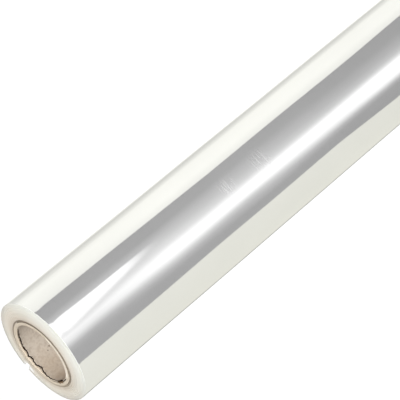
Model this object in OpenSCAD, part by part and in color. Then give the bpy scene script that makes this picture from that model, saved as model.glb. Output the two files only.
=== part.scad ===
// Roll of clear plastic film on a paperboard core, standing on its end.
// The origin is the middle of the floor end, and +Z runs up the roll's axis.

/* [Film] */
// Width of the film, which is the length of the roll
web_w = 500; // [200:10:1000]
// Diameter over the outermost turn
roll_d = 66; // [60:1:110]
// Thickness of the film, which is the height of the step at its free edge
film_t = 0.038; // [0.02:0.002:0.2]
// Direction of the free edge round the roll, in degrees
free_edge_at = 118; // [0:2:358]
// Rounding of the outer rim at both ends
rim_r = 0.8; // [0.4:0.1:1.5]
// Breadth of the flat ring next to each rim, on which the roll stands
land_w = 1.2; // [0.6:0.1:2]
// How far the innermost turns have crept upwards, past the rim at the top
creep = 1.1; // [0.2:0.1:2.5]

/* [Turns on the end faces] */
// Distance between neighbouring grooves of the spiral
turn_pitch = 1.1; // [0.8:0.1:2]
// Breadth of a groove
groove_w = 0.3; // [0.15:0.05:0.5]
// Depth of a groove
groove_h = 0.18; // [0.1:0.02:0.4]

/* [Core] */
// Bore of the core, which takes a spindle or a pair of chucks
core_bore = 38; // [25:1:42]
// Thickness of the wound paperboard wall
core_wall = 3; // [2:0.25:4]
// Radial gap between the core and the first turn of film
core_gap = 0.1; // [0.05:0.05:0.3]
// How far the core has crept upwards with the inner turns
core_creep = 1.4; // [0.2:0.1:3]
// Bevel on the cut edges of the core, inside and outside
core_bevel = 0.3; // [0.1:0.05:0.6]
// Breadth of the open mouth between the core and the first turns
mouth_w = 0.75; // [0.2:0.05:1]
// Depth of that mouth
mouth_h = 1.5; // [0.5:0.1:3]

/* [Wear at the top end] */
// Width of the tear between the plies of the core, along the axis
tear_w = 0.7; // [0.3:0.05:1]
// Depth of the tear into the core's wall
tear_deep = 1.2; // [0.4:0.1:1.6]
// Direction of the nick in the film's rim, in degrees
nick_at = 91; // [0:1:359]
// Width of the nick at the roll's surface
nick_w = 3.2; // [1:0.2:5]
// Depth of the nick along the axis
nick_h = 2.8; // [1:0.2:4]
// How far the nick runs in from the roll's surface
nick_run = 6.5; // [3:0.5:9]

/* [Hidden] */
$fn = 96;
over = 1;
roll_r = roll_d / 2;
bore_r = core_bore / 2;
core_r = bore_r + core_wall;
film_in_r = core_r + core_gap;
mouth_r = film_in_r + mouth_w;
// The rim's arc is centred a little outside its tangent place, so that it
// meets both arcs of the outermost turn at a plain angle
rim_out = rim_r * 0.1;
rim_c = roll_r - rim_r + rim_out;
land_r = rim_c - land_w;
slope = creep / (land_r - mouth_r);
// Grooves run from one groove's breadth off the mouth to the flat ring
spiral_r = mouth_r + groove_w;
half_turns = 2 * floor((land_r - spiral_r) / turn_pitch);
// Angle round the bore and depth below the core's end, along the torn ply
tear = [[12, 1.1], [29, 1.3], [47, 1.8], [64, 1.4], [73, 1.8], [80, 1.3], [88, 2.2], [95, 1.5],
        [101, 1.6], [107, 2.3], [115, 1.5], [124, 0.9], [138, 0.7], [151, 0.8], [165, 1.1], [176, 1.3]];

function lift(r) = slope * max(0, land_r - r);
function spot(a, r, z) = [r * cos(a), r * sin(a), z];

// Outline of the outermost turn: two half circles whose centres lie half a
// film thickness apart, which leaves the step of the free edge at +X
module outermost_turn() {
    intersection() {
        circle(r = roll_r);
        translate([-2 * roll_r, 0]) square([4 * roll_r, 2 * roll_r]);
    }
    intersection() {
        translate([-film_t / 2, 0]) circle(r = roll_r - film_t / 2);
        translate([-2 * roll_r, -2 * roll_r]) square([4 * roll_r, 2 * roll_r]);
    }
}

// Half section through the turns: flat ring, creeping face and round rim
module end_section() {
    polygon([[0, lift(0)], [land_r, 0], [rim_c, 0], [rim_c, web_w], [land_r, web_w], [0, web_w + lift(0)]]);
    translate([rim_c - over, rim_r]) square([rim_r + 2 * over, web_w - 2 * rim_r]);
    for (z = [rim_r, web_w - rim_r]) translate([rim_c, z]) circle(r = rim_r);
}

// One half turn of a groove with a V section, cut down from the height z
module half_groove(r, z, deep) {
    rotate_extrude(angle = 180)
        polygon([[r - groove_w, z + deep], [r + groove_w, z + deep], [r, z - deep]]);
}

// The spiral of the turns: half rings on two centres half a pitch apart
module spiral_groove(top) {
    for (k = [0 : half_turns - 1]) {
        r = spiral_r + k * turn_pitch / 2;
        z = lift(r) + (top ? web_w : 0);
        translate([k % 2 == 0 ? 0 : turn_pitch / 2, 0, 0])
            rotate([0, 0, k % 2 == 0 ? 0 : 180])
                half_groove(r, z, top ? groove_h : -groove_h);
    }
}

// Nick in the top rim: a V across the rim that runs out towards the core
module nick() {
    rotate([0, 0, nick_at])
        translate([roll_r - nick_run, 0, web_w])
            rotate([0, atan2(nick_h, nick_run), 0])
                rotate([90, 0, 90])
                    linear_extrude(2 * nick_run)
                        polygon([[-nick_w / 2, nick_h / 2], [0, -nick_h / 4], [nick_w / 2, nick_h / 2],
                                 [nick_w / 2, 2 * nick_h], [-nick_w / 2, 2 * nick_h]]);
}

// All turns of film, wound tight into one body
module film_roll() {
    color([0.93, 0.94, 0.92])
        difference() {
            rotate([0, 0, free_edge_at])
                difference() {
                    intersection() {
                        translate([0, 0, -over]) linear_extrude(web_w + 2 * over + lift(0)) outermost_turn();
                        rotate_extrude() end_section();
                    }
                    spiral_groove(true);
                    spiral_groove(false);
                }
            translate([0, 0, -over]) cylinder(r = film_in_r, h = web_w + lift(0) + 2 * over);
            translate([0, 0, web_w + lift(mouth_r) - mouth_h])
                cylinder(r1 = film_in_r, r2 = mouth_r + over * mouth_w / mouth_h, h = mouth_h + over);
            nick();
        }
}

// Torn gap between the plies, swept round part of the bore
module tear_gap() {
    n = len(tear);
    ring = [for (i = [0 : n - 1])
        let (half = (i == 0 || i == n - 1 ? 0.15 : 0.5) * tear_w, z = web_w + core_creep - tear[i][1])
        each [spot(tear[i][0], bore_r - over, z - half), spot(tear[i][0], bore_r + tear_deep, z - half),
              spot(tear[i][0], bore_r + tear_deep, z + half), spot(tear[i][0], bore_r - over, z + half)]];
    sides = [for (i = [0 : n - 2], j = [0 : 3])
        let (a = 4 * i + j, b = 4 * i + (j + 1) % 4) each [[a, b, b + 4], [a, b + 4, a + 4]]];
    polyhedron(ring, concat([[0, 3, 2, 1]], sides, [[4 * n - 4, 4 * n - 3, 4 * n - 2, 4 * n - 1]]));
}

// Spirally wound paperboard tube, as long as the film is wide
module core_tube() {
    color([0.78, 0.72, 0.64])
        difference() {
            translate([0, 0, core_creep])
                rotate_extrude()
                    polygon([[bore_r + core_bevel, 0], [core_r - core_bevel, 0], [core_r, core_bevel],
                             [core_r, web_w - core_bevel], [core_r - core_bevel, web_w],
                             [bore_r + core_bevel, web_w], [bore_r, web_w - core_bevel], [bore_r, core_bevel]]);
            tear_gap();
        }
}

film_roll();
core_tube();
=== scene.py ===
# %% [markdown]
# # A roll of clear wrapping film, standing on its end
# A long web of clear plastic film is wound on a paperboard core. One sheet of it is nearly
# invisible. Hundreds of turns, one on the other, look like pearl: half mirror, half milk.
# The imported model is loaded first. It fixes where everything is and how big it is, and all
# that follows only dresses it.

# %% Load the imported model
import math

import bpy
import numpy as np
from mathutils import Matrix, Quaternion, Vector


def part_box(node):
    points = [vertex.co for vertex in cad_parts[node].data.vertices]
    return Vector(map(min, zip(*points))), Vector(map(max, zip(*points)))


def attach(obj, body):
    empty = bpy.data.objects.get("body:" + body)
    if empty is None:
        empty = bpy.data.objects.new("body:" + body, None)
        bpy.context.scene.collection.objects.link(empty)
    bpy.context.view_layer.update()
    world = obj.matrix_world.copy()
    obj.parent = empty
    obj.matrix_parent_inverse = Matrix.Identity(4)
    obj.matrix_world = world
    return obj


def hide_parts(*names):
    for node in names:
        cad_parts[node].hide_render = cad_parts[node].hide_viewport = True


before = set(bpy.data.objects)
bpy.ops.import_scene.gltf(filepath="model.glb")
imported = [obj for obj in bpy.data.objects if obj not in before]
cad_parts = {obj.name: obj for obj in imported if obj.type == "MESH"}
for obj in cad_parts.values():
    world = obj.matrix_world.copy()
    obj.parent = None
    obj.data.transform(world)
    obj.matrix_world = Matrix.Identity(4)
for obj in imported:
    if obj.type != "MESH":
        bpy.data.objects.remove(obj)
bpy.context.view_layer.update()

mm = 0.001
film_low, film_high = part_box("film_roll")
core_low, core_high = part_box("core_tube")
print("film from", [round(v / mm, 1) for v in film_low], "to", [round(v / mm, 1) for v in film_high])

# %% [markdown]
# ## Sizes
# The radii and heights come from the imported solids. The film's outline is a spiral, so its box
# reaches a little less far on one side; the least of the four distances is taken, and the
# dressed roll stays inside the box. What can't be read from a box, such as the width of the mouth
# between core and film, is repeated from the construction in millimetres. Only the nick is drawn
# a little larger than there, because the film round it is stretched and torn.

# %% Sizes of the roll and its core
film_r = min(-film_low.x, -film_low.y, film_high.x, film_high.y)
creep = 1.1 * mm
web_top = film_high.z - creep
core_r = -core_low.x
bore_r = 19 * mm
film_in_r = core_r + 0.1 * mm
mouth_w, mouth_h = 0.75 * mm, 1.5 * mm
rim_r = 0.8 * mm
land_r = film_r - rim_r - 1.2 * mm
turn_pitch, groove_w, groove_h = 1.1 * mm, 0.3 * mm, 0.18 * mm
# Directions round the roll are in degrees
free_edge_at = 118
nick_at, nick_w, nick_h, nick_run = 90.6, 3.7 * mm, 2.8 * mm, 7.5 * mm
print("film radius", round(film_r / mm, 2), "web width", round(web_top / mm, 1))

# %% [markdown]
# ## Camera
# The photograph was taken with a long lens, from above the end of the roll. The camera stands
# 27 degrees over the roll and is rolled on its own axis, so that the standing roll runs through
# the picture from the lower left to the upper right.

# %% Place the camera
camera_place = Vector((0, -1067.1, 921.1)) * mm
looks_at = Vector((9.13, -0.08, 365.31)) * mm
roll_of_camera = -129.68
lens_mm, sensor_mm = 188.4, 36
# The axis of the lens misses the middle of the picture by this share of its width
off_middle = (-0.0015, -0.0011)
# How far the camera sees, in metres
sees_to = 50

camera = bpy.data.objects.new("camera", bpy.data.cameras.new("camera"))
camera.data.lens, camera.data.sensor_width = lens_mm, sensor_mm
camera.data.shift_x, camera.data.shift_y = off_middle
camera.data.clip_end = sees_to
camera.location = camera_place
camera.rotation_mode = "QUATERNION"
upright = (looks_at - camera_place).to_track_quat("-Z", "Y")
camera.rotation_quaternion = upright @ Quaternion((0, 0, 1), math.radians(roll_of_camera))
bpy.context.collection.objects.link(camera)
bpy.context.scene.camera = camera
print("camera", round((looks_at - camera_place).length, 3), "m from where it looks")

# %% [markdown]
# ## Helpers
# Colours are written as the eye sees them, in sRGB, and one function turns them into the
# linear values that light adds up in. One more function adds a node with its settings and
# links, so that each material reads as a list of steps.

# %% Helpers for colour, nodes and materials
def linear(hex_colour):
    """An sRGB hex colour as linear red, green, blue and alpha."""
    parts = [int(hex_colour[i : i + 2], 16) / 255 for i in (1, 3, 5)]
    return [p / 12.92 if p <= 0.04045 else ((p + 0.055) / 1.055) ** 2.4 for p in parts] + [1]


def add_node(tree, kind, sockets=None, **settings):
    """Adds a node; sockets take a value or another node's output."""
    node = tree.nodes.new(kind)
    for name, value in settings.items():
        setattr(node, name, value)
    for name, value in (sockets or {}).items():
        if isinstance(value, bpy.types.NodeSocket):
            tree.links.new(value, node.inputs[name])
        else:
            node.inputs[name].default_value = value
    return node


def set_stops(ramp_node, stops):
    """Gives a colour ramp its stops, a list of (place from 0 to 1, linear colour)."""
    ramp = ramp_node.color_ramp
    while len(ramp.elements) < len(stops):
        ramp.elements.new(0.5)
    for element, (place, colour) in zip(ramp.elements, stops):
        element.position, element.color = place, colour


def new_material(name):
    """An empty node material and its tree."""
    material = bpy.data.materials.new(name)
    material.use_nodes = True
    material.node_tree.nodes.clear()
    return material, material.node_tree


def place_on_object(tree):
    """The place on the object in metres, which every pattern is laid out in."""
    return add_node(tree, "ShaderNodeTexCoord").outputs["Object"]


def from_axis(tree, place):
    """Distance from the roll's axis."""
    flat = add_node(tree, "ShaderNodeVectorMath", {0: place, 1: (1, 1, 0)}, operation="MULTIPLY")
    return add_node(tree, "ShaderNodeVectorMath", {0: flat.outputs[0]}, operation="LENGTH").outputs["Value"]


def near_spots(tree, place, radius, spots):
    """1 at the middle of each spot and 0 beyond it; spots are (degree, height in mm, size in mm)."""
    nearest = 0.0
    for angle, height, size in spots:
        a = math.radians(angle)
        spot = (radius * math.cos(a), radius * math.sin(a), height * mm)
        away = add_node(tree, "ShaderNodeVectorMath", {0: place, 1: spot}, operation="DISTANCE")
        near = add_node(
            tree, "ShaderNodeMapRange",
            {"Value": away.outputs["Value"], "From Max": size * mm, "To Min": 1, "To Max": 0},
            interpolation_type="SMOOTHSTEP",
        )
        most = add_node(
            tree, "ShaderNodeMath", {0: near.outputs["Result"], 1: nearest}, operation="MAXIMUM"
        )
        nearest = most.outputs["Value"]
    return nearest


print("helpers ready; middle grey is", [round(v, 3) for v in linear("#808080")[:3]])

# %% [markdown]
# ## The film's outer turn
# The film is drawn polypropylene, cast and stretched both ways, with a mirror-smooth skin. One
# sheet reflects a twelfth of the light, and the sheets below it reflect what the first lets
# through, so the stack acts as a partial mirror over a milky body. A Principled shader with
# a metallic share does that: the metallic share is the mirror of the many sheets, and the rest
# is the milk. The coat is the outermost sheet. Handling has left fine rubs that run round the roll.

# %% Wound clear film
# Where hands have rubbed the outer turn: angle, height in mm, size in mm
rubbed_spots = [(278, 337, 14), (279, 364, 11), (100, 215, 30), (30, 425, 18), (190, 118, 26)]
# Roughness of the skin as it was cast, and where it is rubbed most
smooth_skin, rubbed_skin = 0.075, 0.42


def wound_clear_film():
    material, tree = new_material("wound clear film")
    place = place_on_object(tree)
    # Rubs: noise that is long round the roll and fine along it
    rub_length, rub_width = 11.11 * mm, 0.7 * mm
    drawn_out = add_node(
        tree, "ShaderNodeVectorMath",
        {0: place, 1: (1 / rub_length, 1 / rub_length, 1 / rub_width)}, operation="MULTIPLY",
    )
    rubs = add_node(
        tree, "ShaderNodeTexNoise", {"Vector": drawn_out.outputs[0], "Scale": 1, "Detail": 3}
    )
    fine_rubs = add_node(
        tree, "ShaderNodeMapRange", {"Value": rubs.outputs["Fac"], "From Min": 0.49, "From Max": 0.58}
    )
    worn = near_spots(tree, place, film_r, rubbed_spots)
    rubbed = add_node(
        tree, "ShaderNodeMath", {0: worn, 1: fine_rubs.outputs["Result"]}, operation="MULTIPLY"
    )
    roughness = add_node(
        tree, "ShaderNodeMapRange",
        {"Value": rubbed.outputs["Value"], "To Min": smooth_skin, "To Max": rubbed_skin},
    )
    # Clouds: the milk is a little denser here and there
    cloud_size = 40 * mm
    clouds = add_node(tree, "ShaderNodeTexNoise", {"Vector": place, "Scale": 1 / cloud_size, "Detail": 2})
    milk = add_node(tree, "ShaderNodeValToRGB", {"Fac": clouds.outputs["Fac"]})
    set_stops(milk, [(0.3, linear("#f3f3f3")), (0.7, linear("#f0f0f0"))])
    film = add_node(
        tree, "ShaderNodeBsdfPrincipled",
        {
            "Base Color": milk.outputs["Color"],
            "Metallic": 0.77,
            "Roughness": roughness.outputs["Result"],
            "Coat Weight": 0.25,
            "Coat Roughness": 0.03,
            "Coat IOR": 1.5,
        },
    )
    add_node(tree, "ShaderNodeOutputMaterial", {"Surface": film.outputs["BSDF"]})
    return material


film_skin = wound_clear_film()
print("made", film_skin.name, "with", len(rubbed_spots), "rubbed spots")

# %% [markdown]
# ## The cut edges of the turns
# At the ends the eye looks into the cut edges of all the sheets. Light goes in there and comes
# out again a few millimetres away, which gives a waxy cream with little shine. Subsurface
# scattering does that. The rings are the turns: real ones are 0.038 mm apart, too fine to show,
# so they are drawn 0.4 mm apart. The colour is painted darker next to the core and on the far
# half, as painted shade, and lighter towards the rim on the near half, as painted light. Round
# the nick a painted highlight makes the torn film white.

# %% Cut edges of the film
# Where a highlight is painted on the torn film round the nick: distance from the axis, and angle, height
# and size
nick_out, nick_highlight_spots = 29 * mm, [(91, 500, 4.5), (95, 500.5, 4)]
# The painted light of the near half changes to the painted shade of the far half between these distances
# along Y
painted_light_to, painted_shade_from = -26 * mm, 12 * mm


def cut_film_edges():
    material, tree = new_material("cut film edges")
    place = place_on_object(tree)
    out = from_axis(tree, place)
    across = add_node(tree, "ShaderNodeMapRange", {"Value": out, "From Min": film_in_r, "From Max": film_r})
    ring_step, ring_relief = 0.4 * mm, 0.2 * mm
    rings = add_node(
        tree, "ShaderNodeTexNoise", {"W": out, "Scale": 1 / ring_step, "Detail": 2}, noise_dimensions="1D"
    )
    # Painted shade: darker next to the core on both halves and darker on the far half; painted light: the
    # near half lighter towards the rim
    far_painted_shade = add_node(tree, "ShaderNodeValToRGB", {"Fac": across.outputs["Result"]})
    set_stops(far_painted_shade, [
        (0.0, linear("#bbb0a1")), (0.2, linear("#cdc3b3")), (0.46, linear("#dfd8ca")),
        (0.68, linear("#dfdacd")), (1.0, linear("#c3c0b8")),
    ])
    near_painted_light = add_node(tree, "ShaderNodeValToRGB", {"Fac": across.outputs["Result"]})
    set_stops(near_painted_light, [
        (0.0, linear("#bcb2a4")), (0.18, linear("#d7d0c4")), (0.4, linear("#d9d6cc")),
        (0.8, linear("#e7e7df")), (1.0, linear("#e9eae3")),
    ])
    parts = add_node(tree, "ShaderNodeSeparateXYZ", {"Vector": place})
    painted_shade_half = add_node(
        tree, "ShaderNodeMapRange",
        {"Value": parts.outputs["Y"], "From Min": painted_light_to, "From Max": painted_shade_from},
        interpolation_type="SMOOTHSTEP",
    )
    tone = add_node(
        tree, "ShaderNodeMix",
        {0: painted_shade_half.outputs["Result"], 6: near_painted_light.outputs["Color"], 7: far_painted_shade.outputs["Color"]},
        data_type="RGBA",
    )
    # The far half is a little redder in places
    blush_size = 22.22 * mm
    redder = add_node(tree, "ShaderNodeTexNoise", {"Vector": place, "Scale": 1 / blush_size, "Detail": 1})
    blush = add_node(
        tree, "ShaderNodeMapRange",
        {"Value": redder.outputs["Fac"], "From Min": 0.4, "From Max": 0.65, "To Max": 0.35},
    )
    blush_far = add_node(
        tree, "ShaderNodeMath",
        {0: blush.outputs["Result"], 1: painted_shade_half.outputs["Result"]}, operation="MULTIPLY",
    )
    blushed_tone = add_node(
        tree, "ShaderNodeMix",
        {0: blush_far.outputs["Value"], 6: tone.outputs[2], 7: linear("#e2d5c7")}, data_type="RGBA",
    )
    # A painted highlight: the torn film round the nick is painted white
    painted_nick_highlight = add_node(
        tree, "ShaderNodeMix",
        {
            0: near_spots(tree, place, nick_out, nick_highlight_spots),
            6: blushed_tone.outputs[2],
            7: linear("#fefefc"),
        },
        data_type="RGBA",
    )
    ring_shade = add_node(
        tree, "ShaderNodeMapRange",
        {"Value": rings.outputs["Fac"], "From Min": 0.3, "From Max": 0.7, "To Min": 0.95, "To Max": 1.03},
    )
    shaded = add_node(
        tree, "ShaderNodeVectorMath",
        {0: painted_nick_highlight.outputs[2], "Scale": ring_shade.outputs["Result"]}, operation="SCALE",
    )
    bump = add_node(
        tree, "ShaderNodeBump",
        {"Height": rings.outputs["Fac"], "Strength": 0.25, "Distance": ring_relief},
    )
    edges = add_node(
        tree, "ShaderNodeBsdfPrincipled",
        {
            "Base Color": shaded.outputs[0],
            "Roughness": 0.55,
            "IOR": 1.49,
            "Specular IOR Level": 0.25,
            "Subsurface Weight": 0.3,
            "Subsurface Radius": (1.0, 1.0, 0.9),
            "Subsurface Scale": 3 * mm,
            "Normal": bump.outputs["Normal"],
        },
    )
    add_node(tree, "ShaderNodeOutputMaterial", {"Surface": edges.outputs["BSDF"]})
    return material


film_edges = cut_film_edges()
print("made", film_edges.name)

# %% [markdown]
# ## The paperboard of the core
# The core is recycled paperboard, slit into strips, glued and wound in a spiral. It has a dull,
# fibrous face, so each finish is a rough surface with a mottle of two close colours, and one
# recipe makes them all: the smooth liner on the inside, the sawn end where the plies show as
# rings, a stretch of it painted lighter as painted light, the torn ply, which is paler because
# it has never been handled, near-black painted shade in the gap behind it, painted shade in the
# crevice and on the crushed corner, and the browned bite.

# %% Paperboard
fibre_relief = 0.15 * mm


def paperboard(name, pale, dark, fibre_mm, ply_mm=0.0, strength=0.3, stains=()):
    """Dull board between two colours, with lines of glue where ply_mm is above 0.

    The stains are a list of (colour, strength, spots).
    """
    material, tree = new_material(name)
    place = place_on_object(tree)
    fibres = add_node(
        tree, "ShaderNodeTexNoise",
        {"Vector": place, "Scale": 1 / (fibre_mm * mm), "Detail": 5, "Distortion": 0.8},
    )
    mottle = add_node(tree, "ShaderNodeValToRGB", {"Fac": fibres.outputs["Fac"]})
    set_stops(mottle, [(0.36, linear(dark)), (0.56, linear(pale))])
    colour = mottle.outputs["Color"]
    if ply_mm:
        turns = add_node(
            tree, "ShaderNodeMath", {0: from_axis(tree, place), 1: 2 * math.pi / (ply_mm * mm)},
            operation="MULTIPLY",
        )
        wave = add_node(tree, "ShaderNodeMath", {0: turns.outputs["Value"]}, operation="SINE")
        glue_line = add_node(
            tree, "ShaderNodeMapRange",
            {"Value": wave.outputs["Value"], "From Min": -1, "From Max": -0.6, "To Min": 0.88},
        )
        ruled = add_node(
            tree, "ShaderNodeVectorMath", {0: colour, "Scale": glue_line.outputs["Result"]},
            operation="SCALE",
        )
        colour = ruled.outputs[0]
    for stain, full, spots in stains:
        near = near_spots(tree, place, bore_r, spots)
        stained = add_node(tree, "ShaderNodeMath", {0: near, 1: full}, operation="MULTIPLY")
        mixed = add_node(
            tree, "ShaderNodeMix", {0: stained.outputs["Value"], 6: colour, 7: linear(stain)},
            data_type="RGBA",
        )
        colour = mixed.outputs[2]
    bump = add_node(
        tree, "ShaderNodeBump",
        {"Height": fibres.outputs["Fac"], "Strength": strength, "Distance": fibre_relief},
    )
    board = add_node(
        tree, "ShaderNodeBsdfPrincipled",
        {
            "Base Color": colour,
            "Roughness": 0.85,
            "IOR": 1.45,
            "Specular IOR Level": 0.3,
            "Normal": bump.outputs["Normal"],
        },
    )
    add_node(tree, "ShaderNodeOutputMaterial", {"Surface": board.outputs["BSDF"]})
    return material


# Old glue has browned the liner near the end of the tear, and two splinters stick to it
liner_stains = [
    ("#b29c82", 0.4, [(116, 494, 14)]), ("#a98f73", 0.5, [(150, 496, 9), (166, 499, 7)]),
    ("#54463a", 0.9, [(88.5, 487, 0.75), (93, 489.3, 0.65)]),
]
core_liner = paperboard("core liner paper", "#d2c7b9", "#c3b6a7", fibre_mm=1.6, stains=liner_stains)
core_cut = paperboard("sawn paperboard end", "#d8ccb9", "#c8baa6", fibre_mm=0.8, ply_mm=0.6)
# A lighter copy of the sawn end for its front: painted light
cut_end_painted_light = paperboard("sawn paperboard end with painted light", "#f2e8da", "#e4d8c6", fibre_mm=0.8, ply_mm=0.6)
core_torn = paperboard("torn paper ply", "#e8dac6", "#d3c2ac", fibre_mm=0.5, strength=0.7)
# Painted shade: near-black board in the torn gap and the split
gap_painted_shade = paperboard("painted shade behind the torn ply", "#2a180b", "#180d05", fibre_mm=0.6)
# Painted shade in the crevice between core and film: on the film's mouth and up the core's outside
crevice = paperboard("painted shade in the crevice", "#b3a796", "#9d9180", fibre_mm=0.6)
# Painted shade on the crushed corner, which widens the dark line of the crevice
corner_painted_shade = paperboard("painted shade on the crushed corner", "#6e6357", "#544a40", fibre_mm=0.6)
core_brown = paperboard("browned torn ply", "#8a7258", "#604d3a", fibre_mm=0.5, strength=0.6)
boards = [core_liner, core_cut, core_torn, gap_painted_shade, crevice, corner_painted_shade, core_brown, cut_end_painted_light]
print("made", [board.name for board in boards])

# %% [markdown]
# ## A turned mesh
# Both pieces are turned forms with local changes: a groove here, a nick there. A Screw modifier
# would give the turned form but not the changes, and sculpting can't be repeated to a size. So
# each piece is a grid: its columns are angles round the axis, its rows follow the section, and
# formulas move the points before the faces are made.

# %% Make a closed grid into a piece
def turned_mesh(name, x, y, z, face_material, materials):
    """A closed ring-shaped mesh from arrays of rows by columns, with a material for each face."""
    rows, columns = x.shape
    points = np.stack([x, y, z], axis=-1).reshape(-1, 3)
    r, c = np.meshgrid(np.arange(rows), np.arange(columns), indexing="ij")
    r2, c2 = (r + 1) % rows, (c + 1) % columns
    faces = np.stack([r * columns + c, r2 * columns + c, r2 * columns + c2, r * columns + c2], axis=-1)
    mesh = bpy.data.meshes.new(name)
    mesh.from_pydata(points.tolist(), [], faces.reshape(-1, 4).tolist())
    for material in materials:
        mesh.materials.append(material)
    mesh.polygons.foreach_set("material_index", face_material.reshape(-1).astype(np.int32))
    mesh.polygons.foreach_set("use_smooth", np.ones(len(mesh.polygons), dtype=bool))
    mesh.update()
    piece = bpy.data.objects.new(name, mesh)
    bpy.context.collection.objects.link(piece)
    print(name, "has", len(mesh.vertices), "points and", len(mesh.polygons), "faces")
    return piece


def smooth_step(value, low, high):
    """0 below low, 1 above high, and a soft change between."""
    share = np.clip((value - low) / (high - low), 0, 1)
    return share * share * (3 - 2 * share)


def towards(turn, side):
    """1 on this side of the roll, 0 on the far side; turn is in radians and side in degrees."""
    return (1 + np.cos(turn - math.radians(side))) / 2


print("a quarter of the way up a soft step is", smooth_step(0.25, 0, 1))

# %% [markdown]
# ## The wound film
# The real roll is one web, and its outer turn ends in a free edge that clings to the turn below.
# So the radius shrinks by one film thickness on the way round and steps back at that edge. The
# thickness is 0.038 mm, drawn here as 0.06 mm so that the edge shows. The section has its rows
# close together where the form changes fast, at both ends and in the mouth between core and
# film, and far apart down the straight side.

# %% Columns and rows of the film
drawn_film_t = 0.06 * mm
# The mouth's floor lies this far below the innermost turns; the mouth carries painted shade
mouth_floor_h = 0.75 * mm
mouth_lip, sharp_r = 0.3 * mm, 0.15 * mm
# Angles between columns: round the roll, at the nick, and at the free edge's step
plain_step, fine_step, edge_step, nick_reach = 1.5, 0.3, 0.15, 7
film_skin_part, top_part, floor_part, mouth_part, rim_part = range(5)


def film_columns():
    """Angles in degrees from the free edge, closer together at the nick."""
    nick_from_edge = (nick_at - free_edge_at) % 360
    angles = list(np.arange(0, 360 - edge_step, plain_step)) + [360 - edge_step]
    angles += list(np.arange(nick_from_edge - nick_reach, nick_from_edge + nick_reach, fine_step))
    return np.unique(np.round(angles, 3))


def film_rows():
    """The section as radius, height and part, up the mouth, over the top, down the side and back."""
    mouth_r = film_in_r + mouth_w
    top = web_top + creep
    rows = [(film_in_r, creep, floor_part), (film_in_r, top - 2 * mouth_h, mouth_part)]
    rows += [(film_in_r, top - mouth_floor_h, mouth_part), (mouth_r - 0.2 * mm, top - mouth_floor_h, mouth_part)]
    rows += [(mouth_r, top - mouth_lip, mouth_part)]
    out = np.arange(mouth_r, film_r - rim_r, turn_pitch / 8)
    edge = film_r - sharp_r
    rows += [(r, web_top, top_part) for r in np.append(out, edge - 0.02 * mm)]
    arc = np.radians(np.linspace(90, 0, 10))
    rows += [(edge + sharp_r * math.cos(a), web_top - sharp_r * (1 - math.sin(a)), rim_part) for a in arc]
    near_end = np.geomspace(1, 60, 16) * mm
    middle = np.linspace(66 * mm, web_top - 66 * mm, 44)
    heights = np.concatenate([web_top - near_end, middle[::-1], near_end[::-1]])
    rows += [(film_r, web_top - sharp_r - 0.05 * mm, film_skin_part)]
    rows += [(film_r, h, film_skin_part) for h in heights]
    low_edge = film_r - rim_r
    rows += [(low_edge + rim_r * math.cos(a), rim_r - rim_r * math.sin(a), rim_part) for a in arc[::-1]]
    rows += [(r, 0, floor_part) for r in out[::-1]]
    return np.array(rows)


film_angles, film_section = film_columns(), film_rows()
print(len(film_section), "rows by", len(film_angles), "columns")

# %% [markdown]
# ## The turns on the ends
# On the ends the turns are crowned, and the inner ones have crept up towards the core. At one side
# the first turns lean in over the core's crushed corner. A bump texture could draw the turns, but
# light that grazes the end shows whether they are there, so the mesh has them. One groove
# stands for about 30 turns, and it is a spiral: its phase moves on by one pitch each time round.

# %% Turns on the ends
crushed_side, lean = 330, 0.45 * mm
mouth_wider_at, mouth_wider = 185, 0.3 * mm
lean_reach, turn_uneven = 3 * mm, 0.05 * mm


def lift(radius):
    """How far the creeping turns stand above the rim at this radius."""
    return creep * np.clip((land_r - radius) / (land_r - film_in_r - mouth_w), 0, 1)


def leaning(radius, turn):
    """How far the first turns lean in over the core's crushed corner, below 0, or keep off it."""
    near_mouth = 1 - smooth_step(radius, film_in_r + mouth_w, film_in_r + mouth_w + lean_reach)
    return (mouth_wider * towards(turn, mouth_wider_at) - lean * towards(turn, crushed_side)) * near_mouth


def turns_on_end(radius, turn, share):
    """Depth of the spiral's groove, and how far its crowns stand unevenly."""
    # The spiral's phase is whole at each groove
    phase = (radius - film_in_r - mouth_w) / turn_pitch - share
    to_groove = np.abs(phase - np.round(phase)) * turn_pitch
    groove = groove_h * np.exp(-((to_groove / (0.6 * groove_w)) ** 2))
    groove *= 1 - smooth_step(radius, land_r - 0.3 * mm, land_r)
    uneven = turn_uneven * np.sin(5.1 * np.floor(phase + 0.5) + 2 * turn)
    uneven *= smooth_step(radius, film_in_r + mouth_w, film_in_r + 2 * mm)
    uneven *= 1 - smooth_step(radius, land_r - 1 * mm, land_r)
    return groove, uneven


print("the innermost turns stand", round(lift(film_in_r) / mm, 2), "mm above the rim")

# %% [markdown]
# ## Rim, waves and nick
# The rim is as sharp as the slitter's knife has left it, and sinks a little at the front. A tight
# web is never quite round, and slow waves in it bend its reflections, which a true cylinder
# can't do. The nick is torn down and outwards. Cutting it with a Boolean would give it clean
# walls, so the grid is pulled down there by a V with ragged sides.

# %% Rim, waves and nick
rim_drop, drop_from, knife_uneven = 0.05 * mm, 28 * mm, 0.02 * mm
wave_deep, nick_tail = 0.025 * mm, 9 * mm


def sunk_rim(radius, turn):
    """How far the outer turns sink at the front, where the slitter's knife left them uneven."""
    sag = rim_drop * np.clip((radius - drop_from) / (film_r - drop_from), 0, 1) ** 2
    teeth = np.sin(23 * turn) + np.sin(41 * turn + 1) + np.sin(67 * turn + 2)
    sag = sag + knife_uneven * (teeth + 2) * smooth_step(radius, film_r - 2 * mm, film_r - sharp_r)
    return sag * (1 - np.sin(turn)) / 2


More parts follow.
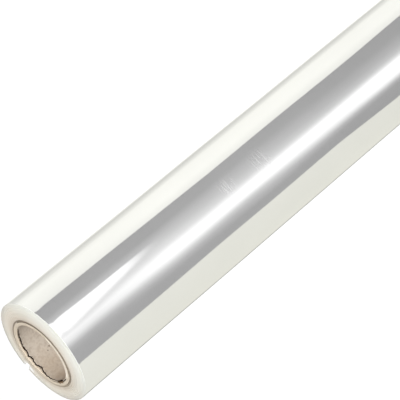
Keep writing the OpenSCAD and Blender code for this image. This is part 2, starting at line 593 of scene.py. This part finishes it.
def slow_waves(height, turn):
    """How far the outer turn lies inwards of a true round, from one end to the other."""
    wave = np.sin(3 * turn + 21 * height) + np.sin(2 * turn - 43 * height + 1)
    wave = wave + np.sin(5 * turn + 62 * height + 2)
    body = smooth_step(height, 1 * mm, 6 * mm)
    body = body * (1 - smooth_step(height, web_top - 6 * mm, web_top - 1 * mm))
    return wave_deep * (3 + wave) * body


def torn_nick(radius, height, turn):
    """How far the nick pulls down: a V that is deepest at the surface and runs out inwards."""
    off = (np.degrees(turn) - nick_at + 180) % 360 - 180
    across = np.radians(off) * radius
    ragged = 1 + 0.25 * np.sin(off * 4.1) + 0.15 * np.sin(off * 9.7)
    vee = smooth_step(1 - np.abs(across) / (nick_w / 2) * ragged, 0, 0.75)
    deep = nick_h * np.clip((radius - (film_r - nick_run)) / nick_run, 0, 1)
    return deep * vee * smooth_step(height, web_top - nick_tail, web_top)


print("the nick is", round(nick_w / mm, 1), "mm wide and", round(nick_h / mm, 1), "mm deep")

# %% Bend the film's grid into the wound roll
def wound_roll():
    """Places of the film's grid, row by row, and the part that each row belongs to."""
    share = film_angles[None, :] / 360
    turn = np.radians(film_angles + free_edge_at)[None, :]
    radius = np.repeat(film_section[:, :1], len(film_angles), axis=1)
    height = np.repeat(film_section[:, 1:2], len(film_angles), axis=1)
    part = film_section[:, 2].astype(int)
    shaped = (top_part, film_skin_part, floor_part, rim_part)
    top, skin, foot, rim = [(part == p)[:, None] for p in shaped]
    radius = radius + np.where(top, leaning(radius, turn), 0)
    groove, uneven = turns_on_end(radius, turn, share)
    sag = sunk_rim(radius, turn)
    height = height + np.where(top, lift(radius) - groove + uneven - sag, 0)
    near_rim = smooth_step(height, web_top - 5 * mm, web_top - 0.5 * mm)
    height = height - np.where(rim | skin, sag * near_rim, 0)
    height = height + np.where(foot & (radius > film_in_r), lift(radius) + groove + np.abs(uneven), 0)
    # The free edge: the radius shrinks on the way round and steps back
    radius = radius - drawn_film_t * share * smooth_step(radius, land_r, film_r - sharp_r)
    radius = radius - np.where(skin, slow_waves(height, turn), 0)
    height = height - torn_nick(radius, height, turn) * (top | skin | rim)
    return radius * np.cos(turn), radius * np.sin(turn), height, part


x, y, z, part = wound_roll()
# The skin, then the cut edges on top and at the foot, the painted shade in the mouth and the rims
slot_of_part = np.array([0, 1, 1, 2, 1])
face_slot = np.repeat(slot_of_part[part][:, None], len(film_angles), axis=1)
film_piece = turned_mesh("film_turns", x, y, z, face_slot, [film_skin, film_edges, crevice])
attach(film_piece, "root")
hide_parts("film_roll")

# %% [markdown]
# ## The core with its torn ply
# The saw or the knife that cut the core has split its plies at the mouth. A ragged gap runs
# under the cut end for half the bore. Noise alone can't put the tear where the real one is, so
# the path of the gap is a short list of places, set after the photograph, with a fine
# seeded jitter on it, as torn paper has no straight edge.

# %% Path of the torn gap
# Angle round the bore in degrees, depth below the cut end and width of the gap in mm
tear_path = np.array([
    (12, 1.1, 0.05), (20, 1.15, 0.2), (29, 1.3, 0.4), (47, 1.75, 0.42), (64, 1.4, 0.5),
    (73, 1.8, 0.65), (80, 1.3, 0.65), (88, 2.2, 0.6), (92, 1.8, 0.3), (96, 1.5, 0.3),
    (101, 1.55, 0.45), (107, 2.3, 0.5), (115, 1.5, 0.65), (124, 0.8, 0.55), (132, 0.5, 0.5),
    (139, 0.35, 0.4), (144, 0.4, 0.15), (156, 0.4, 0.15), (160, 0.6, 0.7), (165, 0.9, 1.5),
    (170, 0.9, 1.5), (174, 0.8, 0.8), (178, 0.6, 0.1),
])
tear_from, tear_to = tear_path[0, 0], tear_path[-1, 0]
plain_core_step, tear_step = 2.0, 0.4
seeded = np.random.default_rng(7)
core_angles = np.unique(np.round(np.concatenate([
    np.arange(0, 360, plain_core_step), np.arange(tear_from, tear_to, tear_step)]), 3))
inside_tear = (core_angles >= tear_from) & (core_angles <= tear_to)


def ragged_line(size):
    """Seeded jitter in mm for each column, coarse and fine together."""
    coarse = np.interp(core_angles, np.arange(0, 361, 3), seeded.normal(0, size, 121))
    fine = np.interp(core_angles, np.arange(0, 361, 1), seeded.normal(0, 0.7 * size, 361))
    return coarse + fine


def along(path, column):
    """One column of a path, worked out for each column of the core."""
    return np.interp(core_angles, path[:, 0], path[:, column])


tear_depth = along(tear_path, 1) + ragged_line(0.15)
tear_width = along(tear_path, 2) * (1 + ragged_line(0.2))
opened = smooth_step(core_angles, tear_from, tear_from + 5)
opened = opened * (1 - smooth_step(core_angles, tear_to - 3, tear_to))
# The gap's least width, and the least board that is left above it, in mm
least_gap, least_board = 0.15, 0.12
tear_width = np.clip(tear_width, least_gap, 2) * opened + 0.02
tear_depth = np.clip(tear_depth, least_board + tear_width / 2, None)
# Splinters: short spurs up (below 0) or down (above 0) from the gap, in mm
spurs_to = 138
spurs = np.interp(core_angles, np.arange(0, 361, 0.8), 0.09 * seeded.normal(0, 1, 452) ** 3)
spurs = np.clip(spurs, -0.35, 0.6) * opened * (core_angles < spurs_to)
print("the gap runs over", tear_to - tear_from, "degrees of the bore")

# %% [markdown]
# ## The bite and the split
# At the far end of the tear a bite of the inner plies is gone, and the innermost ply has split
# off beside it. Both are short paths again. The rest of the cut end is a little rough, as a saw
# leaves paperboard.

# %% Bite, split and roughness of the cut end
# At the end of the tear a bite of the inner plies is gone: degree and depth in mm
bite_path = np.array([(156, 0), (162, 0.65), (173, 0.65), (178, 0)])
bitten = along(bite_path, 1) * mm
# Beside the bite the innermost ply has split off: degree and depth of the split in mm
split_path = np.array([
    (135, 0), (140, 0.8), (156, 0.9), (161, 0), (174, 0), (177, 0.9), (185, 0.7), (191, 0),
])
split = along(split_path, 1) * mm
# Distance in mm of the split's outer edge, bottom and inner edge from the bore, by ring of the end
split_edges = {4: 0.78, 5: 0.54, 6: 0.3}
rough = 0.04 * mm * np.abs(ragged_line(1))
bite = bitten * np.clip(1 + ragged_line(0.3), 0.3, 1.3)
print("the bite is up to", round(bite.max() / mm, 2), "mm deep")

# %% [markdown]
# ## Rows of the core
# The rows follow the core's section: up the outside, over the corner that the knife has
# crushed, most at one side, over the cut plies, into the torn gap and out over the liner, which
# curls a little inwards below it, and down the bore. The gap is a fold of the same grid and not
# a cut, so the mesh stays closed.

# %% Rows of the core
core_foot, core_top = core_low.z, core_high.z
every_column = np.ones(len(core_angles))
bevel, gap_deep, curl = 0.3 * mm, 1.2 * mm, 0.3 * mm
bevel_least, bevel_most = 0.15 * mm, 0.95 * mm
crushed_bevel = bevel_least + (bevel_most - bevel_least) * towards(np.radians(core_angles), crushed_side)
gap_top = core_top - np.maximum(tear_depth - tear_width / 2 + np.minimum(spurs, 0), least_board) * mm
gap_floor = core_top - (tear_depth + tear_width / 2 + np.maximum(spurs, 0)) * mm


def outside_rows():
    """Up the outside of the core and over its crushed corner."""
    return [
        (core_r * every_column, (core_foot + bevel) * every_column),
        (core_r * every_column, (core_top - 3 * mm) * every_column),
        (core_r * every_column, core_top - 0.5 * mm - 0.5 * crushed_bevel),
        (core_r - 0.3 * crushed_bevel, core_top - 0.25 * mm - 0.2 * crushed_bevel),
        (core_r - 0.85 * crushed_bevel, core_top - 0.04 * mm - 0.05 * crushed_bevel),
    ]


def cut_end_rows():
    """Seven rings over the cut end, with every second ply a little low, and one down to the gap."""
    rim_out, rim_in = core_r - crushed_bevel, bore_r + bevel + bite
    in_split = np.clip(split / (0.3 * mm), 0, 1)
    rows = []
    for ring in range(7):
        at = rim_out + (rim_in - rim_out) * ring / 6
        low_ply = 0.03 * mm * (ring % 2) + rough * (0 < ring < 6)
        if ring in split_edges:
            at = at + (bore_r + split_edges[ring] * mm - at) * in_split
        rows.append((at, core_top - low_ply - split * (ring == 5)))
    corner = np.maximum(gap_top + 0.05 * mm, core_top - 0.2 * mm - bite)
    return rows + [((bore_r + 0.08 * mm) * every_column + bite, corner)]


def gap_rows():
    """Into the torn gap and out of it, over the liner that curls inwards below it."""
    gap_r = bore_r + gap_deep * opened + 0.02 * mm
    rounded = 0.15 * (gap_top - gap_floor)
    return [
        (bore_r + 0.1 * mm * opened, gap_top),
        (gap_r, gap_top - rounded),
        (gap_r, gap_floor + rounded),
        (bore_r - curl * opened, gap_floor),
        (bore_r - 0.6 * curl * opened, gap_floor - 0.5 * mm),
        (bore_r - 0.15 * curl * opened, gap_floor - 1.4 * mm),
    ]


def bore_rows():
    """Down the bore, closer together near the top, and round the foot."""
    start = core_top - 6 * mm
    heights = start + (core_foot + bevel - start) * np.linspace(0, 1, 30) ** 1.5
    rows = [(bore_r * every_column, height * every_column) for height in heights]
    rows += [((bore_r + bevel) * every_column, core_foot * every_column)]
    return rows + [((core_r - bevel) * every_column, core_foot * every_column)]


core_rows = outside_rows() + cut_end_rows() + gap_rows() + bore_rows()
core_radius = np.array([radius for radius, _ in core_rows])
core_height = np.array([height for _, height in core_rows])
print("the core has", len(core_rows), "rows by", len(core_angles), "columns")

# %% [markdown]
# ## Finishes of the core
# One mesh carries all the finishes of the board. Each face has the number of its material, and
# the numbers are set by row and by direction: the crushed corner carries painted shade at one
# side, and the sawn end is painted lighter at the front, as painted light.

# %% Finish of each stretch of the core
liner_slot, cut_slot, torn_slot, gap_shade_slot, crevice_slot, corner_shade_slot, brown_slot, lit_cut_slot = range(8)
# Painted shade lies on the crushed corner between these degrees
corner_shade_from, corner_shade_to = 205, 354
# The sawn end is painted lighter between these degrees, at the front towards the camera and the lamp:
# painted light
lit_cut_from, lit_cut_to = 198, 284
core_part = np.full(core_radius.shape, liner_slot)
# The outside and its corner, then the cut end
# The core's outside carries painted shade, as seen down the crevice
core_part[0:3] = crevice_slot
core_part[3, (core_angles > corner_shade_from) & (core_angles < corner_shade_to)] = corner_shade_slot
core_part[4:11] = cut_slot
core_part[7:11, (core_angles > lit_cut_from) & (core_angles < lit_cut_to)] = lit_cut_slot
# The torn edge, the bite, the split and the gap
core_part[11:13, inside_tear] = torn_slot
core_part[10:13, bitten > 0.05 * mm] = brown_slot
# The split and the gap are painted near-black as painted shade
core_part[9:11, split > 0.1 * mm] = gap_shade_slot
core_part[13:16, inside_tear] = gap_shade_slot
# The foot
core_part[-3:] = cut_slot
core_turn = np.radians(core_angles)[None, :]
core_piece = turned_mesh(
    "core_plies", core_radius * np.cos(core_turn), core_radius * np.sin(core_turn), core_height,
    core_part, boards)
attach(core_piece, "root")
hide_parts("core_tube")

# %% [markdown]
# ## Floor and light
# The roll stands on a plain white floor, as on a photographer's table. The sky gives a low, even
# light, and one large soft lamp over the camera gives the rest, so that the inside of the core
# gets darker downwards. For the camera the floor is lifted to full white. The shadow at the foot
# of the roll stays, because only part of what the camera sees is added.

# %% White floor
floor_lift, floor_half_width = 0.55, 15


def white_floor():
    material, tree = new_material("white floor")
    path = add_node(tree, "ShaderNodeLightPath")
    lifted = add_node(
        tree, "ShaderNodeMath", {0: path.outputs["Is Camera Ray"], 1: floor_lift}, operation="MULTIPLY"
    )
    matt = add_node(tree, "ShaderNodeBsdfDiffuse", {"Color": linear("#f2f2f2")})
    glow = add_node(tree, "ShaderNodeEmission", {"Strength": lifted.outputs["Value"]})
    both = add_node(tree, "ShaderNodeAddShader", {0: matt.outputs["BSDF"], 1: glow.outputs["Emission"]})
    add_node(tree, "ShaderNodeOutputMaterial", {"Surface": both.outputs["Shader"]})
    return material


def stage_mesh(name, points, faces, material):
    """A piece of the stage: floor or card."""
    mesh = bpy.data.meshes.new(name)
    mesh.from_pydata(points, [], faces)
    mesh.materials.append(material)
    thing = bpy.data.objects.new(name, mesh)
    bpy.context.collection.objects.link(thing)
    return thing


corners = [(-1, -1), (1, -1), (1, 1), (-1, 1)]
floor_points = [(x * floor_half_width, y * floor_half_width, 0) for x, y in corners]
stage_mesh("floor", floor_points, [(0, 1, 2, 3)], white_floor())
print("the floor is", 2 * floor_half_width, "m wide")

# %% Sky and lamp
# The camera and the reflections see a white sky; as a light it is lower
sky_level = 0.45
world = bpy.data.worlds.new("white sky")
world.use_nodes = True
sky_tree = world.node_tree
sky_tree.nodes.clear()
path = add_node(sky_tree, "ShaderNodeLightPath")
seen = add_node(
    sky_tree, "ShaderNodeMath",
    {0: path.outputs["Is Camera Ray"], 1: path.outputs["Is Glossy Ray"]}, operation="MAXIMUM",
)
level = add_node(
    sky_tree, "ShaderNodeMapRange", {"Value": seen.outputs["Value"], "To Min": sky_level, "To Max": 1}
)
sky = add_node(
    sky_tree, "ShaderNodeBackground", {"Color": linear("#ffffff"), "Strength": level.outputs["Result"]}
)
add_node(sky_tree, "ShaderNodeOutputWorld", {"Surface": sky.outputs["Background"]})
bpy.context.scene.world = world
bpy.context.scene.view_settings.view_transform = "Standard"

lamp_wide, lamp_watts = 0.9, 24.5
lamp = bpy.data.objects.new("key", bpy.data.lights.new("key", "AREA"))
lamp.data.shape, lamp.data.size = "DISK", lamp_wide
lamp.data.energy = lamp_watts
lamp.location = (0.05, -1.28, 1.46)
lamp_aims_at = Vector((0, 0, 0.45))
lamp.rotation_mode = "QUATERNION"
lamp.rotation_quaternion = (lamp_aims_at - lamp.location).to_track_quat("-Z", "Y")
bpy.context.collection.objects.link(lamp)
print("sky level", sky_level, "and a soft lamp of", lamp_watts, "W over the camera")

# %% [markdown]
# ## Cards for the reflections
# A glossy roll shows what stands round it. A photographer puts white cards at both sides and
# behind, and leaves the front dark but for one strip light: that gives the grey bands with a
# white line between them. The cards stand in a ring round the roll, and their feet lie on the
# floor and reach in to it, so that the bands run on to the roll's foot. Only reflections see
# the cards, so they neither light the roll nor shade the floor. How bright each card is, round
# the ring and upwards, is a colour ramp with a few stops in round steps, which follow the tones
# that the bands in the photograph were measured to have.

# %% Curved cards in a ring round the roll
card_ring = 250 * mm
behind_ring, before_ring = card_ring + 5 * mm, card_ring - 5 * mm
# The feet of the cards stop this far from the roll
foot_gap = 3 * mm
card_steps = 30


def curved_card(name, material, ring, levels, apron=True):
    """A card on a ring; levels are (height in mm, from degree, to degree) from its foot upwards."""
    points, faces, marks = [], [], []
    rows = [(ring, *level) for level in levels]
    if apron:
        # The card's foot lies on the floor and reaches in to the foot of the roll
        rows = [(film_r + foot_gap, *levels[0])] + rows
    for out, height, start, end in rows:
        for k in range(card_steps + 1):
            a = start + (end - start) * k / card_steps
            points.append((out * math.cos(math.radians(a)), out * math.sin(math.radians(a)), height * mm))
            marks.append((a - start, height))
    for row in range(len(rows) - 1):
        for k in range(card_steps):
            low = row * (card_steps + 1) + k
            high = low + card_steps + 1
            faces.append((low, low + 1, high + 1, high))
    card = stage_mesh(name, points, faces, material)
    # The mark holds the degrees from the card's left edge and the height
    mark = card.data.attributes.new("mark", "FLOAT2", "POINT")
    mark.data.foreach_set("vector", np.array(marks, dtype=np.float32).reshape(-1))
    card.visible_camera = card.visible_diffuse = card.visible_shadow = False
    card.visible_transmission = card.visible_volume_scatter = False
    return card


def card_light(name, tint, ramps):
    """Light that changes round the ring and upwards; ramps are (height in mm, [(degree, strength)])."""
    material, tree = new_material(name)
    parts = add_node(tree, "ShaderNodeSeparateXYZ", {"Vector": place_on_object(tree)})
    first, last = ramps[0][1][0][0], ramps[0][1][-1][0]
    middle = math.radians((first + last) / 2)
    angle = add_node(
        tree, "ShaderNodeMath", {0: parts.outputs["Y"], 1: parts.outputs["X"]}, operation="ARCTAN2"
    )
    turned = add_node(
        tree, "ShaderNodeMath",
        {0: angle.outputs["Value"], 1: middle + math.pi, 2: middle - math.pi}, operation="WRAP",
    )
    share = add_node(
        tree, "ShaderNodeMapRange",
        {"Value": turned.outputs["Value"], "From Min": math.radians(first), "From Max": math.radians(last)},
    )
    strongest = max(strength for _, stops in ramps for _, strength in stops)
    colour, below = None, None
    for height, stops in ramps:
        ramp = add_node(tree, "ShaderNodeValToRGB", {"Fac": share.outputs["Result"]})
        set_stops(ramp, [((a - first) / (last - first), [s / strongest] * 3 + [1]) for a, s in stops])
        if colour is None:
            colour = ramp.outputs["Color"]
        else:
            up = add_node(
                tree, "ShaderNodeMapRange",
                {"Value": parts.outputs["Z"], "From Min": below * mm, "From Max": height * mm},
            )
            both = add_node(
                tree, "ShaderNodeMix",
                {0: up.outputs["Result"], 6: colour, 7: ramp.outputs["Color"]}, data_type="RGBA",
            )
            colour = both.outputs[2]
        below = height
    tinted = add_node(
        tree, "ShaderNodeVectorMath", {0: colour, 1: linear(tint)[:3]}, operation="MULTIPLY"
    )
    light = add_node(tree, "ShaderNodeEmission", {"Color": tinted.outputs[0], "Strength": strongest})
    add_node(tree, "ShaderNodeOutputMaterial", {"Surface": light.outputs["Emission"]})
    return material


# The dark front with its strip of light, as (degree, strength): near the floor, at two heights
# between and near the top
unlit, strip = 0.22, 1.2
front_low = [
    (195, unlit), (228, unlit), (235, 0.4), (243, 1.05), (247, strip), (266, strip), (271, 0.75),
    (276, 0.5), (286, 0.35), (305, unlit), (345, unlit),
]
front_middle = [
    (195, 0.25), (223, unlit), (236, 0.4), (243, 0.6), (251, strip), (265, strip), (271, 0.8),
    (276, 0.6), (286, 0.45), (310, 0.25), (345, unlit),
]
front_upper = [
    (195, unlit), (227, unlit), (236, 0.35), (243, 0.6), (254, strip), (268, 1.15), (275, 0.8),
    (287, 0.55), (311, unlit), (345, unlit),
]
front_high = [
    (195, unlit), (233, unlit), (243, 0.3), (247, 0.45), (256, 0.85), (263, 1.0), (271, 0.75),
    (290, 0.5), (302, 0.4), (314, unlit), (345, 0.2),
]
front_light = card_light(
    "front card with a strip of light", "#ffffff",
    [(100, front_low), (225, front_middle), (315, front_upper), (385, front_high)])
curved_card("front_card", front_light, card_ring, [
    (1.5, 200, 332.5), (90, 203.7, 330.2), (150, 209.8, 330.5), (250, 210.3, 331.4), (300, 209.8, 333.5),
    (345, 209.4, 336.3), (440, 209.2, 337.8), (620, 209.2, 337.8),
])
# The right card is brightest at its middle and has a dim streak near its far edge
right_low = [
    (325, 0.9), (335, 0.95), (350, 1.1), (378, 1.1), (388, 1.05), (394, 0.9), (405, 0.75), (411, 0.65),
    (425, 0.9), (450, 0.95),
]
right_high = [
    (325, 0.85), (338, 0.9), (350, 1.0), (374, 1.1), (388, 1.0), (394, 0.85), (405, 0.75), (411, 0.65),
    (425, 0.9), (450, 0.95),
]
curved_card(
    "right_card", card_light("right white card", "#fffff7", [(280, right_low), (380, right_high)]),
    behind_ring, [(0.8, 322, 450), (620, 322, 450)])
# The left card falls off to a dark edge behind the roll
left_stops = [
    (450, 0.05), (467, 0.1), (478, 0.75), (484, 0.85), (510, 0.85), (555, 0.8), (580, 0.8),
]
curved_card(
    "left_card", card_light("left white card", "#fffff2", [(0, left_stops)]),
    behind_ring, [(0.8, 450, 575), (620, 450, 575)])
print("cards stand", round(card_ring / mm), "mm from the roll's axis")

# %% [markdown]
# ## A window of light near the top
# Near the top end the roll shows a second white patch with one hard side. It is a bright
# card that hangs high in front, on a slant, and lets go softly at its left and lower end.

# %% Hanging card with a soft left and lower side
def soft_sided_light(name, strength, full_height, gone_height, soft_degrees):
    material, tree = new_material(name)
    mark = add_node(tree, "ShaderNodeAttribute", attribute_name="mark")
    parts = add_node(tree, "ShaderNodeSeparateXYZ", {"Vector": mark.outputs["Vector"]})
    inwards = add_node(
        tree, "ShaderNodeMapRange", {"Value": parts.outputs["X"], "From Max": soft_degrees},
        interpolation_type="SMOOTHSTEP",
    )
    upwards = add_node(
        tree, "ShaderNodeMapRange",
        {"Value": parts.outputs["Y"], "From Min": gone_height, "From Max": full_height},
        interpolation_type="SMOOTHSTEP",
    )
    share = add_node(
        tree, "ShaderNodeMath",
        {0: inwards.outputs["Result"], 1: upwards.outputs["Result"]}, operation="MULTIPLY",
    )
    clear = add_node(tree, "ShaderNodeBsdfTransparent")
    light = add_node(tree, "ShaderNodeEmission", {"Strength": strength})
    mixed = add_node(
        tree, "ShaderNodeMixShader",
        {0: share.outputs["Value"], 1: clear.outputs["BSDF"], 2: light.outputs["Emission"]},
    )
    add_node(tree, "ShaderNodeOutputMaterial", {"Surface": mixed.outputs["Shader"]})
    return material


hanging_light = soft_sided_light(
    "hanging bright card", strength=1.2, full_height=355, gone_height=311, soft_degrees=9)
hanging_levels = [
    (300, 287, 294.5), (345, 279, 296.8), (375, 273, 298), (405, 266.5, 300.5), (440, 260, 303),
]
curved_card("hanging_card", hanging_light, before_ring, hanging_levels, apron=False)
print("the hanging card reaches from", hanging_levels[0][0], "to", hanging_levels[-1][0], "mm")
